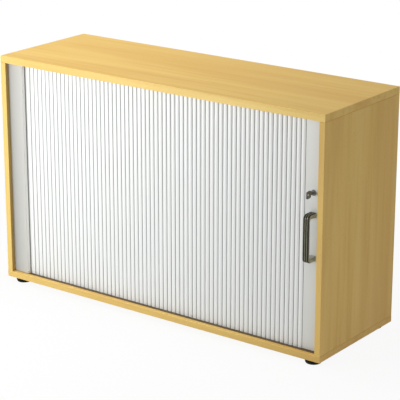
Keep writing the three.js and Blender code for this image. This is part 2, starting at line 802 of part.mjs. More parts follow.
function handleBow() {
  const innerBase = handleHoleSpacing / 2 - legThickness / 2;
  const innerHalf = innerBase + legTaper;
  const innerFront = handleReach - gripThickness;
  const side = new THREE.Shape();
  handleOuterLine(side, 0);
  const turnX = innerFront - handleInnerRound;
  const turnZ = innerHalf - handleInnerRound;
  side.lineTo(0, -innerBase);
  side.lineTo(turnX, -innerHalf);
  side.absarc(turnX, -turnZ, handleInnerRound, -Math.PI / 2, 0, false);
  side.absarc(turnX, turnZ, handleInnerRound, 0, Math.PI / 2, false);
  side.lineTo(0, innerBase);
  const blank = new THREE.ExtrudeGeometry(outline(side, handleDivisions), {
    depth: handleWidth - 2 * handleEase,
    bevelThickness: handleEase,
    bevelSize: handleEase,
    bevelOffset: -handleEase,
    bevelSegments: 1,
  });
  blank.translate(0, 0, handleEase - handleWidth / 2);
  const outwards = axisY.clone().negate();
  let solid = solidOf(turned(blank, outwards, axisZ));
  const fluteOutline = new THREE.Shape();
  handleOuterLine(fluteOutline, fluteDepth);
  const outside = new THREE.Shape();
  const far = handleHoleSpacing + overrun;
  outside.moveTo(-overrun, -far);
  outside.lineTo(handleReach + overrun, -far);
  outside.lineTo(handleReach + overrun, far);
  outside.lineTo(-overrun, far);
  for (const x of [-fluteSpacing / 2, fluteSpacing / 2]) {
    const slice = (shape) => {
      const depth = fluteWidth;
      const profile = outline(shape, handleDivisions);
      const geometry = new THREE.ExtrudeGeometry(profile, { depth, bevelEnabled: false });
      geometry.translate(0, 0, -depth / 2);
      return solidOf(turned(geometry, outwards, axisZ).translate(x, 0, 0));
    };
    solid = solid.subtract(slice(outside).subtract(slice(fluteOutline)));
  }
  const holeLength = handleScrewLength - slatThickness + overrun;
  const holes = [-handleHoleSpacing / 2, handleHoleSpacing / 2].map((z) =>
    rod(handleScrewRadius + seatGap, [0, overrun - holeLength, z], axisY, holeLength, pinSides),
  );
  const place = [barMiddle, curtainFront - seatGap, handleHeight];
  return copyAt('handle_bow', cut(solid, holes), handleMaterial, place);
}

// A round-headed screw whose shank runs along +Y or -Y, or up, from its head's seat
function screw(radius, length, headRadius, headHeight, axis) {
  const profile = [
    [0, -headHeight],
    [headRadius - headHeight * screwShares.headRound, -headHeight],
    [headRadius, -headHeight * screwShares.headEdge],
    [headRadius, 0],
    [radius, 0],
    [radius, length - radius],
    [radius * screwShares.tip, length],
    [0, length],
  ];
  return turnedPiece(profile, [0, 0, 0], axis, pinSides);
}

function handleScrews() {
  const length = handleScrewLength - 2 * seatGap;
  const outwards = axisY.clone().negate();
  const solid = screw(handleScrewRadius, length, screwHeadRadius, screwHeadHeight, outwards);
  const names = ['handle_screw_lower', 'handle_screw_upper'];
  const seat = barPlateBack + seatGap;
  return handleScrewZs.map((z, i) => copyAt(names[i], solid, steelMaterial, [barMiddle, seat, z]));
}

function lockSleeve() {
  const length = sleeveProud + slatThickness + seatGap + caseWall;
  const profile = [
    [sleeveBore, 0],
    [sleeveRadius - sleeveBevel, 0],
    [sleeveRadius, sleeveBevel],
    [sleeveRadius, length],
    [sleeveBore, length],
    [sleeveBore, 0],
  ];
  const solid = turnedPiece(profile, [0, 0, 0], axisY);
  const place = [barMiddle, curtainFront - sleeveProud, lockHeight];
  return copyAt('lock_sleeve', solid, lockMaterial, place);
}

// The plug with its keyway, its driver disc and the pin that moves the bolt. The pin starts up and
// to the left, and a quarter turn brings it up and to the right.
function lockCylinder() {
  const pinEnd = boltBack + driverPinTip;
  const plug = rod(plugRadius, [0, 0, 0], axisY, driverFront + seatGap - plugFront);
  const driver = rod(driverRadius, [0, driverFront - plugFront, 0], axisY, driverThickness);
  const pinStart = [-driverPinOffset, driverBack - seatGap - plugFront, driverPinOffset];
  const pin = rod(driverPinRadius, pinStart, axisY, pinEnd - driverBack + seatGap, pinSides);
  const keywayX = keyBladeThickness / 2 + seatGap;
  const keywayZ = keyBladeHeight / 2 + seatGap;
  const keyway = block([-keywayX, -overrun, -keywayZ], [keywayX, keyBladeLength + seatGap, keywayZ]);
  const solid = plug.add(driver).add(pin).subtract(keyway);
  return copyAt('lock_cylinder', solid, lockMaterial, [barMiddle, plugFront, lockHeight]);
}

// An open case behind the bar, with a hole in front for the sleeve and a slot for the bolt
function lockCase() {
  const left = barMiddle - caseWidth / 2;
  const right = barMiddle + caseWidth / 2;
  const low = lockHeight - caseHeight / 2;
  const high = lockHeight + caseHeight / 2;
  const shell = block([left, caseFront, low], [right, caseBack, high]);
  const cavity = block(
    [left + caseWall, cavityFront, low + caseWall],
    [right - caseWall, cavityBack, high - caseWall],
  );
  const holeStart = [barMiddle, caseFront - overrun, lockHeight];
  const sleeveHole = rod(sleeveRadius + seatGap, holeStart, axisY, 2 * overrun);
  const slotHalfZ = boltHalfHeight + runningGap;
  const boltSlot = block(
    [right - caseWall - overrun, boltFront - runningGap / 2, lockHeight - slotHalfZ],
    [right + overrun, boltBack + runningGap / 2, lockHeight + slotHalfZ],
  );
  const solid = cut(shell, [cavity, sleeveHole, boltSlot]);
  return piece('lock_case', solid, steelMaterial, [barMiddle, caseFront, lockHeight]);
}

// A flat bolt whose carrier has an upright slot for the driver's pin
function lockBolt() {
  const left = barMiddle - boltTail;
  const tongue = block(
    [left, boltFront, lockHeight - boltHalfHeight],
    [boltRight, boltBack, lockHeight + boltHalfHeight],
  );
  const carrier = block(
    [left, boltFront, lockHeight],
    [barMiddle + boltCarrierReach, boltBack, lockHeight + boltCarrierTop],
  );
  const pinX = barMiddle - driverPinOffset;
  const slotHalf = driverPinRadius + runningGap;
  const slot = block(
    [pinX - slotHalf, boltFront - overrun, lockHeight + driverPinOffset - slotHalf],
    [pinX + slotHalf, boltBack + overrun, lockHeight + driverPinThrow + slotHalf],
  );
  const solid = tongue.add(carrier).subtract(slot);
  return piece('lock_bolt', solid, steelMaterial, [barMiddle, boltMiddleY, lockHeight]);
}

function strikePlate() {
  const left = innerFaceX;
  const plate = block(
    [left, boltMiddleY - strikeWidth / 2, lockHeight - strikeHeight / 2],
    [left + strikeThickness, boltMiddleY + strikeWidth / 2, lockHeight + strikeHeight / 2],
  );
  const slot = block(
    [left - overrun, boltFront - boltPlay, lockHeight - boltHalfHeight - boltPlay],
    [left + overrun, boltBack + boltPlay, lockHeight + boltHalfHeight + boltPlay],
  );
  return piece('strike_plate', plate.subtract(slot), steelMaterial, [left, boltMiddleY, lockHeight]);
}

// The key stands upright in the lock. Its own origin is in the lock's face.
function key() {
  const blade = block(
    [-keyBladeThickness / 2, -keyNeckLength, -keyBladeHeight / 2],
    [keyBladeThickness / 2, keyBladeLength - seatGap, keyBladeHeight / 2],
  );
  const half = keyBowHeight / 2;
  const corner = keyBowRound;
  const bow = new THREE.Shape();
  bow.moveTo(keyNeckLength, half - corner);
  bow.absarc(keyNeckLength + corner, half - corner, corner, Math.PI, Math.PI / 2, true);
  bow.absarc(keyNeckLength + keyBowLength - corner, half - corner, corner, Math.PI / 2, 0, true);
  bow.absarc(keyNeckLength + keyBowLength - corner, corner - half, corner, 0, -Math.PI / 2, true);
  bow.absarc(keyNeckLength + corner, corner - half, corner, -Math.PI / 2, -Math.PI, true);
  const depth = keyBowThickness;
  const geometry = new THREE.ExtrudeGeometry(outline(bow, smallDivisions), { depth, bevelEnabled: false });
  geometry.translate(0, 0, -depth / 2);
  const bowSolid = solidOf(turned(geometry, axisY.clone().negate(), axisZ));
  const ringY = -keyNeckLength - keyBowLength + keyRingRadius + corner;
  const ringHole = rod(keyRingRadius, [-keyBowThickness, ringY, 0], axisX, 2 * keyBowThickness, ringSides);
  const solid = bowSolid.subtract(ringHole).add(blade.subtract(ringHole));
  return copyAt('key', solid, lockMaterial, [barMiddle, plugFront, lockHeight]);
}

// A rubber stop on the inner wall's front edge, in the way of the bar's left flange
function openStop() {
  const right = innerWallRight - seatGap;
  const back = interiorFront - seatGap;
  const middle = (floorTop + ceiling) / 2;
  const low = [innerWallLeft + stopInset, back - stopDepth, middle - stopHeight / 2];
  const high = [right, back, middle + stopHeight / 2];
  return piece('open_stop', board(low, high, 'y'), rubberMaterial, [right, interiorFront, low[2]]);
}

// A moulded foot, wider at its top, with a well from below for its screw
function footSolid() {
  const top = footHeight - seatGap;
  const profile = [
    [footWellRadius, 0],
    [footBottomRadius - footRound, 0],
    [footBottomRadius, footRound],
    [footTopRadius, top - footRound],
    [footTopRadius - footRound / 2, top],
    [footBoreRadius, top],
    [footBoreRadius, footWellDepth],
    [footWellRadius, footWellDepth],
    [footWellRadius, 0],
  ];
  return turnedPiece(profile, [0, 0, 0], axisZ);
}

function feet() {
  const solid = footSolid();
  const length = footHeight - footWellDepth + footScrewHold;
  const screwSolid = screw(footScrewRadius, length, footScrewHeadRadius, footScrewHeadHeight, axisZ);
  const meshes = [];
  for (const [corner, [x, y]] of Object.entries(footPlaces)) {
    meshes.push(copyAt(`foot_${corner}`, solid, footMaterial, [x, y, 0]));
    meshes.push(copyAt(`foot_screw_${corner}`, screwSolid, steelMaterial, [x, y, footWellDepth - seatGap]));
  }
  return meshes;
}

function dowels() {
  const length = dowelInPanel + dowelInSide;
  const solid = rod(dowelRadius, [0, 0, 0], axisZ, length, pinSides);
  const sides = { left: -dowelX, right: dowelX };
  const ends = { lower: floorTop - dowelInPanel, upper: ceiling - dowelInSide };
  const meshes = [];
  for (const [side, x] of Object.entries(sides)) {
    for (const [end, z] of Object.entries(ends)) {
      meshes.push(copyAt(`dowel_${side}_${end}_front`, solid, dowelMaterial, [x, dowelYs[0], z]));
      meshes.push(copyAt(`dowel_${side}_${end}_rear`, solid, dowelMaterial, [x, dowelYs[1], z]));
    }
  }
  return meshes;
}

function group(...meshes) {
  const made = new THREE.Group();
  made.add(...meshes);
  return made;
}

function carcass() {
  const partitionLeft = partitionMiddle - boardThickness / 2;
  const partitionRight = partitionMiddle + boardThickness / 2;
  const upperTrack = piece('upper_track', track(ceiling, 1), trackMaterial, [bendX, runFrontY, ceiling]);
  const lowerTrack = piece('lower_track', track(floorTop, -1), trackMaterial, [bendX, runFrontY, floorTop]);
  return group(
    topPanel(),
    bottomPanel(),
    leftSidePanel(),
    rightSidePanel(),
    backPanel(),
    innerBackPanel(),
    innerLeftWall(),
    centrePartition(),
    shelf('left_shelf', innerWallRight, partitionLeft),
    shelf('right_shelf', partitionRight, innerFaceX),
    ...shelfPins(),
    leftFascia(),
    upperTrack,
    lowerTrack,
    strikePlate(),
    openStop(),
    ...feet(),
    ...dowels(),
  );
}

function curtain() {
  const sections = [];
  for (let i = 0; i < sectionCount; i += 1) sections.push(curtainSection(i));
  return group(tailStrip(), ...sections);
}

function closingBar() {
  return group(
    leadingBar(),
    runner('lower_runner', slatLow, barLow - seatGap, true),
    runner('upper_runner', barHigh + seatGap, slatHigh, false),
    handleBow(),
    ...handleScrews(),
    lockSleeve(),
    lockCylinder(),
    lockCase(),
    lockBolt(),
    key(),
  );
}

const cabinet = group(carcass(), curtain(), closingBar());
cabinet.position.y = originShift;

export default group(cabinet);
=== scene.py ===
"""Looks of the tambour door cabinet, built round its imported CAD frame. Lengths are in metres."""
import math

import bmesh
import bpy
from mathutils import Euler, Matrix, Vector


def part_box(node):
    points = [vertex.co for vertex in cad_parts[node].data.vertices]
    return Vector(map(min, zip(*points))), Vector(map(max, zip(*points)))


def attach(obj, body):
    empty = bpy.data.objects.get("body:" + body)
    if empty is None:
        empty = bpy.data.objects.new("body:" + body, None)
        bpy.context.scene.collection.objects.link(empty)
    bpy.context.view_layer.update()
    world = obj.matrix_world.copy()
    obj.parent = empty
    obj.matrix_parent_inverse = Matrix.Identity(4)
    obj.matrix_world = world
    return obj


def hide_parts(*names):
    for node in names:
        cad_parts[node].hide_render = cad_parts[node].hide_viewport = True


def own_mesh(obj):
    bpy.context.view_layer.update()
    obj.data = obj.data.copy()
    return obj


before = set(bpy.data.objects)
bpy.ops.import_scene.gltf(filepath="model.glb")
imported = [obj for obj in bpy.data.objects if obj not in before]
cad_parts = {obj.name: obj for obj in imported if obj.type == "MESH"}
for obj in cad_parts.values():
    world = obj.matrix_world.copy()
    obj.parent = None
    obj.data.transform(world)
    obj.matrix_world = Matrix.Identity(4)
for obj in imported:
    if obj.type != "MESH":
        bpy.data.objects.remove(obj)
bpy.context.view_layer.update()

MM = 0.001

# Camera, fitted to the cabinet's corners in the photograph: place, turn in degrees, lens in millimetres
CAMERA_PLACE = (2.96202, -3.94018, 1.92963)
CAMERA_TURN = (72.12489, -0.01861, 36.64221)
CAMERA_LENS = 151.454
CAMERA_SENSOR = 36.0
CAMERA_CLIP = (0.1, 60)

# Studio
WHITE = (1, 1, 1)
FLOOR_HALF = 9.0
FLOOR_TONE = (0.82, 0.82, 0.82)
MELT_START = 0.7
MELT_END = 1.9
MELT_SHARE = 0.92
FILL_STRENGTH = 0.43
LAMP_SIZE = 0.8

# Curtain
SECTION_COUNT = 5
SLAT_PITCH = 15.77 * MM
JOINT_WIDTH = 2.25 * MM
SECTION_GAP = 0.25 * MM
SLAT_CROWN = 1.25 * MM
SLAT_EDGE = 0.5 * MM
SLAT_EDGE_TURN = 70
SLAT_EDGE_STEPS = 3
CROWN_STEPS = 10
WEB_THICKNESS = 1.0 * MM
TAIL_LENGTH = 30 * MM
TAIL_THICKNESS = 7.5 * MM
TAIL_EASE = 1.2 * MM
BEND_START = -0.504
BEND_RADIUS = 60 * MM
BEND_STEPS = 12

# Handle, measured from the middle of its seat on the closing bar
HOLE_SPACING = 128 * MM
LEG_THICKNESS = 15 * MM
LEG_TAPER = 2.5 * MM
HANDLE_REACH = 36 * MM
HANDLE_WIDTH = 20 * MM
GRIP_THICKNESS = 6 * MM
OUTER_ROUND = 13 * MM
INNER_ROUND = 7 * MM
HANDLE_STEPS = 6
HANDLE_EDGE = 1.5 * MM
HANDLE_EDGE_TURNS = (0, 22, 45, 67, 90)
FLUTE_SPACING = 6.5 * MM
FLUTE_HALF = 1.35 * MM
FLUTE_DEPTH = 1.25 * MM

# Across one flute: shares of its half width and of its depth
FLUTE_PROFILE = ((-1.25, 0), (-1, 0.08), (-0.8, 0.55), (-0.45, 0.92), (0, 1),
                 (0.45, 0.92), (0.8, 0.55), (1, 0.08), (1.25, 0))

# Lock
SLEEVE_RADIUS = 8.5 * MM
SLEEVE_BORE = 6.5 * MM
SLEEVE_ROUND = 0.8 * MM
SLEEVE_LIP = 0.4 * MM
PLUG_RADIUS = 6.25 * MM
PLUG_EASE = 0.35 * MM
KEYWAY_HALF_WIDTH = 0.95 * MM
KEYWAY_HALF_HEIGHT = 4.0 * MM
KEYWAY_ROOM = 0.5 * MM
CUT_OVERSHOOT = 1.0 * MM
DRIVER_START = 9.5 * MM
DRIVER_THICKNESS = 2.25 * MM
PIN_OFFSET = 4 * MM
PIN_RADIUS = 1.5 * MM
PIN_EASE = 0.3 * MM
PIN_STEPS = 24

# Key
BOW_LENGTH = 23 * MM
BOW_HEIGHT = 22 * MM
BOW_THICKNESS = 2.5 * MM
BOW_ROUND = 5.5 * MM
BOW_EDGE = 0.45 * MM
BOW_STEPS = 8
RING_RADIUS = 3.2 * MM
RING_STEPS = 32
BLADE_THICKNESS = 1.4 * MM
BLADE_HEIGHT = 7.5 * MM
BLADE_DEPTH = 11.25 * MM
BLADE_ROOT = 2 * MM

# Feet
FOOT_WELL_RADIUS = 7 * MM
FOOT_WELL_EASE = 0.5 * MM
FOOT_WELL_DEPTH = 8 * MM
FOOT_BORE_RADIUS = 2.6 * MM
FOOT_BASE_RADIUS = 23.5 * MM
FOOT_BASE_ROUND = 2 * MM
FOOT_BASE_TURN = 70
FOOT_STEPS = 64

# Millimetres out from the foot's base and up: its domed flank
FOOT_FLANK = ((0.9, 4.2), (1.7, 7), (2.3, 9.6))

# Millimetres in from the foot's widest radius and up: the fine ring, then the rim
FOOT_RIM = ((0.75, 11.2), (1.3, 11.5), (1.3, 12.1), (0.35, 12.4), (0, 13.2), (0, 14.2))

# Millimetres in from the foot's widest radius and down from its top: the eased top edge
FOOT_TOP = ((0.5, 0.4), (1.2, 0))

ROUND_STEPS = 48
EDGE_STEPS = 5
WELD_DISTANCE = 1e-6


# Objects and meshes

def added(name, data):
    """A new object in the scene."""
    made = bpy.data.objects.new(name, data)
    bpy.context.scene.collection.objects.link(made)
    return made


def dressed(mesh, materials, body, node, smooth_angle=40):
    """A new piece from a mesh in the part's frame. It stands for the CAD node and has the mesh's name."""
    piece = added(mesh.name, mesh)
    for material in materials:
        mesh.materials.append(material)
    mesh.shade_smooth()
    mesh.set_sharp_from_angle(angle=math.radians(smooth_angle))
    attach(piece, body)
    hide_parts(node)
    return piece


def middle_of(low, high):
    """The middle of a box."""
    return Vector([(start + end) / 2 for start, end in zip(low, high)])


def mesh_from(made, name):
    """A mesh with its normals outwards, from a bmesh that is used up."""
    bmesh.ops.recalc_face_normals(made, faces=made.faces)
    mesh = bpy.data.meshes.new(name)
    made.to_mesh(mesh)
    made.free()
    return mesh


def evaluated(target):
    """The mesh that a curve, or a mesh with modifiers, comes to."""
    bpy.context.view_layer.update()
    graph = bpy.context.evaluated_depsgraph_get()
    return bpy.data.meshes.new_from_object(target.evaluated_get(graph))


def extruded(outline, low, high, second=()):
    """A closed prism: an outline in x and y, drawn counterclockwise, between two heights.

    Faces that start at the outline's points listed in second get the second material.
    """
    made = bmesh.new()
    rows = [[made.verts.new((x, y, z)) for x, y in outline] for z in (low, high)]
    count = len(outline)
    for i in range(count):
        j = (i + 1) % count
        face = made.faces.new((rows[0][i], rows[0][j], rows[1][j], rows[1][i]))
        face.material_index = int(i in second)
    made.faces.new(list(reversed(rows[0])))
    made.faces.new(rows[1])
    return made


def block(low, high):
    """A plain box between two corners, to cut with or to join."""
    outline = [(low[0], low[1]), (high[0], low[1]), (high[0], high[1]), (low[0], high[1])]
    return mesh_from(extruded(outline, low[2], high[2]), "block")


def lathe(profile, centre, axis, steps=ROUND_STEPS):
    """A closed turned piece: profile points are (radius, distance along the axis), in a loop."""
    turn = Vector((0, 0, 1)).rotation_difference(Vector(axis)).to_matrix()
    made = bmesh.new()
    rings = []
    for radius, along in profile:
        ring = []
        for i in range(steps if radius else 1):
            angle = 2 * math.pi * i / steps
            point = Vector((radius * math.cos(angle), radius * math.sin(angle), along))
            ring.append(made.verts.new(turn @ point + Vector(centre)))
        rings.append(ring)
    for first, second in zip(rings, rings[1:] + rings[:1]):
        if len(first) == 1 and len(second) == 1:
            continue
        for i in range(steps):
            j = (i + 1) % steps
            corners = [first[i % len(first)], first[j % len(first)],
                       second[j % len(second)], second[i % len(second)]]
            made.faces.new(list(dict.fromkeys(corners)))
    return made


def joined(name, base, other, operation):
    """The base mesh with the other mesh added to it or cut out of it."""
    target = added(name, base)
    tool = added(f"{name}_tool", other)
    modifier = target.modifiers.new("cut", "BOOLEAN")
    modifier.operation = operation
    modifier.solver = "EXACT"
    modifier.object = tool
    mesh = evaluated(target)
    for used in (target, tool):
        bpy.data.objects.remove(used)
    mesh.name = name
    return mesh


def arc(centre, radius, start, end, steps):
    """Points of an arc, its angles in degrees."""
    points = []
    for i in range(steps + 1):
        angle = math.radians(start + (end - start) * i / steps)
        points.append((centre[0] + radius * math.cos(angle), centre[1] + radius * math.sin(angle)))
    return points


# Shaders

class Nodes:
    """The nodes of a material or a world, and short ways to add to them."""

    def __init__(self, owner, output):
        owner.use_nodes = True
        self.tree = owner.node_tree
        self.tree.nodes.clear()
        self.output = self.tree.nodes.new(output)

    def feed(self, socket, value):
        """Links a socket to another node's output, or gives it a number, vector or colour."""
        if isinstance(value, bpy.types.NodeSocket):
            self.tree.links.new(value, socket)
        elif socket.type == "RGBA":
            socket.default_value = (*value, 1)
        else:
            socket.default_value = value

    def fill(self, made, inputs):
        """Feeds inputs that are named with underscores in place of spaces."""
        for name, value in inputs.items():
            self.feed(made.inputs[name.replace("_", " ")], value)

    def node(self, kind, **inputs):
        """A new node with these inputs."""
        made = self.tree.nodes.new(kind)
        self.fill(made, inputs)
        return made

    def maths(self, operation, first, second):
        """The result of one operation on two numbers or sockets."""
        made = self.node("ShaderNodeMath")
        made.operation = operation
        for socket, value in zip(made.inputs, (first, second)):
            self.feed(socket, value)
        return made.outputs[0]

    def ramp(self, value, low, high, out_low=0.0, out_high=1.0):
        """Goes smoothly from out_low to out_high as the value goes from low to high."""
        made = self.node("ShaderNodeMapRange", Value=value, From_Min=low, From_Max=high,
                         To_Min=out_low, To_Max=out_high)
        made.interpolation_type = "SMOOTHSTEP"
        return made.outputs["Result"]

    def seen_by(self, *rays):
        """1 for the kinds of ray that are named, and 0 for all others."""
        path = self.node("ShaderNodeLightPath")
        share = path.outputs[rays[0]]
        for ray in rays[1:]:
            share = self.maths("MAXIMUM", share, path.outputs[ray])
        return share

    def show(self, shader):
        """Makes this shader the one that is seen."""
        self.feed(self.output.inputs["Surface"], shader.outputs[0])

    def show_mixed(self, share, first, second):
        """Shows two shaders at once, the second by the share."""
        mix = self.node("ShaderNodeMixShader")
        for socket, value in zip(mix.inputs, (share, first.outputs[0], second.outputs[0])):
            self.feed(socket, value)
        self.show(mix)


class Shader(Nodes):
    """A material with one principled shader, whose textures lie in the part's own frame."""

    def __init__(self, name):
        self.material = bpy.data.materials.new(name)
        super().__init__(self.material, "ShaderNodeOutputMaterial")
        self.main = self.node("ShaderNodeBsdfPrincipled")
        self.show(self.main)
        self.place = self.node("ShaderNodeTexCoord").outputs["Object"]

    def stretched(self, scale, shift=(0, 0, 0)):
        """The place on the part as a texture takes it, scaled and then shifted."""
        mapping = self.node("ShaderNodeMapping", Vector=self.place, Scale=scale, Location=shift)
        return mapping.outputs["Vector"]

    def noise(self, scale, detail, shift=(0, 0, 0), roughness=0.5, distortion=0.0):
        """Noise from 0 to 1, with so many features per metre along each axis."""
        made = self.node("ShaderNodeTexNoise", Vector=self.stretched(scale, shift), Scale=1.0,
                         Detail=detail, Roughness=roughness, Distortion=distortion)
        return made.outputs["Fac"]

    def along(self, vector, axis):
        """One coordinate of a vector."""
        return self.node("ShaderNodeSeparateXYZ", Vector=vector).outputs[axis]

    def facing(self, axis, way):
        """1 where the surface faces along the axis of the part's frame, and 0 elsewhere."""
        normal = self.node("ShaderNodeTexCoord").outputs["Normal"]
        return self.ramp(self.maths("MULTIPLY", self.along(normal, axis), way), 0.8, 0.95)

    def mixed(self, share, first, second, blend="MIX"):
        """A mix of two colours, which go into the node's sockets 6 and 7 and come out of socket 2."""
        made = self.node("ShaderNodeMix")
        made.data_type = "RGBA"
        made.blend_type = blend
        for number, value in ((0, share), (6, first), (7, second)):
            self.feed(made.inputs[number], value)
        return made.outputs[2]

    def bump(self, height, strength, distance):
        """Relief from a height, which spans the distance at full strength."""
        made = self.node("ShaderNodeBump", Height=height, Strength=strength, Distance=distance)
        self.feed(self.main.inputs["Normal"], made.outputs["Normal"])

    def set(self, **inputs):
        """Feeds the principled shader."""
        self.fill(self.main, inputs)


def colour(red, green, blue):
    """A colour as the eye names it, 0 to 255, as the linear one that a shader takes."""
    def linear(value):
        share = value / 255
        return share / 12.92 if share <= 0.04045 else ((share + 0.055) / 1.055) ** 2.4
    return (linear(red), linear(green), linear(blue))


def along_grain(grain, along, across):
    """A noise scale that differs along the grain and across it."""
    return tuple(along if axis == grain else across for axis in "xyz")


def beech(name, grain, shift, edging, painted_reveal_shade=None):
    """Honey beech decor: broad tone, growth streaks, fine lines and the short dark flecks of beech.

    The strip glued to a board's front edge is darker than its faces, by the shares in edging. The
    left panel's inner face, seen as a strip beside the fascia, gets painted shade by the last shares.
    """
    shader = Shader(name)
    light, mid, deep = colour(243, 204, 116), colour(235, 192, 105), colour(220, 174, 90)
    fleck = colour(168, 124, 66)
    broad = shader.noise(along_grain(grain, 0.9, 7.0), 2.0, shift, 0.5, 0.6)
    streaks = shader.noise(along_grain(grain, 2.0, 46.0), 3.0, shift, 0.55, 0.4)
    lines = shader.noise(along_grain(grain, 9.0, 620.0), 2.0, shift)
    flecks = shader.noise(along_grain(grain, 150.0, 1500.0), 1.0, shift, 0.4)
    tone = shader.mixed(shader.ramp(broad, 0.36, 0.64), mid, light)
    tone = shader.mixed(shader.ramp(streaks, 0.44, 0.76, 0.0, 0.38), tone, deep)
    tone = shader.mixed(shader.ramp(lines, 0.5, 0.75, 0.0, 0.2), tone, deep)
    tone = shader.mixed(shader.ramp(flecks, 0.66, 0.74, 0.0, 0.4), tone, fleck)
    tone = shader.mixed(shader.facing("Y", -1), tone, edging, "MULTIPLY")
    # Painted shade: the inner face, facing +x, is darkened as if out of the lamps' light
    if painted_reveal_shade:
        tone = shader.mixed(shader.facing("X", 1), tone, painted_reveal_shade, "MULTIPLY")
    rough = shader.ramp(streaks, 0.3, 0.7, 0.44, 0.54)
    shader.set(Base_Color=tone, Roughness=rough, Specular_IOR_Level=0.35)
    height = shader.maths("ADD", lines, shader.ramp(flecks, 0.66, 0.74, 0.0, -1.0))
    shader.bump(height, 0.16, 0.00012)
    return shader.material


def silver(name, tone, shift=(0, 0, 0), painted_right_highlight=None, painted_shade=None):
    """Satin silver grey plastic with fine pigment and the faint upright lines of extrusion.

    A strip's right side face, where it has a tone of its own, gets that paler tone as a painted
    highlight. A strip beside a panel gets painted shade near it: the last argument holds the place
    along x where the painted shade begins, the place where it is complete, and the share of the
    tone that is left there.
    """
    shader = Shader(name)
    pigment = shader.noise((2600, 2600, 2600), 1.0, shift)
    lines = shader.noise((900, 900, 1.6), 2.0, shift)
    cloud = shader.noise((9, 9, 3), 2.0, shift)
    base = colour(*tone)
    dark = tuple(channel * 0.9 for channel in base)
    warm = tuple(channel * share for channel, share in zip(base, (0.985, 0.98, 0.965)))
    mix = shader.mixed(shader.ramp(pigment, 0.42, 0.62, 0.0, 0.5), base, dark)
    mix = shader.mixed(shader.ramp(cloud, 0.4, 0.65, 0.0, 0.5), mix, warm)
    # Painted highlight: the face turned to +x takes a paler tone, as if lit
    if painted_right_highlight:
        mix = shader.mixed(shader.facing("X", 1), mix, colour(*painted_right_highlight))
    # Painted shade: the tone darkens along x towards a neighbouring panel, as if in its shade
    if painted_shade:
        begins, complete, left_over = painted_shade
        painted_shade_ramp = shader.ramp(shader.along(shader.place, "X"), begins, complete)
        mix = shader.mixed(painted_shade_ramp, mix, (left_over,) * 3, "MULTIPLY")
    shader.set(Base_Color=mix, Metallic=0.12, Roughness=shader.ramp(lines, 0.3, 0.7, 0.38, 0.5))
    shader.bump(lines, 0.12, 0.0001)
    return shader.material


def dark_metal(name, tone, grain, roughness, metallic):
    """Dark satin plated metal, brushed along one axis, a little brighter where it is worn."""
    shader = Shader(name)
    brushed = shader.noise(along_grain(grain, 60.0, 4200.0), 2.0)
    worn = shader.noise((55, 55, 55), 4.0, (3, 1, 2), 0.6)
    base = colour(*tone)
    bright = tuple(channel * 1.5 for channel in base)
    mix = shader.mixed(shader.ramp(brushed, 0.35, 0.7, 0.0, 0.6), base, bright)
    mix = shader.mixed(shader.ramp(worn, 0.55, 0.8, 0.0, 0.35), mix, bright)
    rough = shader.ramp(brushed, 0.3, 0.7, roughness - 0.06, roughness + 0.08)
    shader.set(Base_Color=mix, Metallic=metallic, Roughness=rough)
    shader.bump(brushed, 0.12, 0.00006)
    return shader.material


def zinc(name):
    """Bright zinc plating with a soft spangle."""
    shader = Shader(name)
    cells = shader.node("ShaderNodeTexVoronoi", Vector=shader.stretched((210, 210, 210)), Scale=1.0)
    cloud = shader.noise((45, 45, 45), 3.0)
    spangle = shader.ramp(cells.outputs["Distance"], 0.1, 0.7)
    mix = shader.mixed(spangle, colour(196, 198, 200), colour(176, 180, 186))
    mix = shader.mixed(shader.ramp(cloud, 0.45, 0.7, 0.0, 0.4), mix, colour(158, 158, 154))
    shader.set(Base_Color=mix, Metallic=0.92, Roughness=shader.ramp(cloud, 0.3, 0.7, 0.3, 0.46))
    shader.bump(cloud, 0.06, 0.0002)
    return shader.material


def moulded(name, tone, roughness, pebbles, relief, gloss=0.5):
    """Moulded plastic or rubber with a fine pebbled skin and faint flow marks."""
    shader = Shader(name)
    pebble = shader.noise((pebbles,) * 3, 2.0)
    flow = shader.noise((14, 14, 22), 3.0, (5, 2, 1), 0.55, 0.8)
    base = colour(*tone)
    pale = tuple(channel * 1.35 + 0.002 for channel in base)
    mix = shader.mixed(shader.ramp(pebble, 0.4, 0.65, 0.0, 0.6), base, pale)
    mix = shader.mixed(shader.ramp(flow, 0.5, 0.75, 0.0, 0.4), mix, pale)
    rough = shader.ramp(pebble, 0.3, 0.7, roughness - 0.06, roughness + 0.08)
    shader.set(Base_Color=mix, Roughness=rough, Specular_IOR_Level=gloss)
    shader.bump(pebble, relief, 0.00015)
    return shader.material


def plain_beech(name):
    """Turned dowel of plain beech with pores along its length."""
    shader = Shader(name)
    pores = shader.noise((1400, 1400, 110), 2.0)
    pored = shader.ramp(pores, 0.55, 0.75, 0.0, 0.6)
    tone = shader.mixed(pored, colour(206, 172, 124), colour(160, 120, 78))
    shader.set(Base_Color=tone, Roughness=shader.ramp(pores, 0.3, 0.7, 0.68, 0.8))
    shader.bump(pores, 0.2, 0.0002)
    return shader.material


# Painted shade on two strips: places along x where the painted shade begins and where it is complete, and
# the share of the tone left there
BAR_PAINTED_SHADE = (0.528, 0.584, 0.86)
FASCIA_PAINTED_SHADOW = (-0.515, -0.6, 0.68)

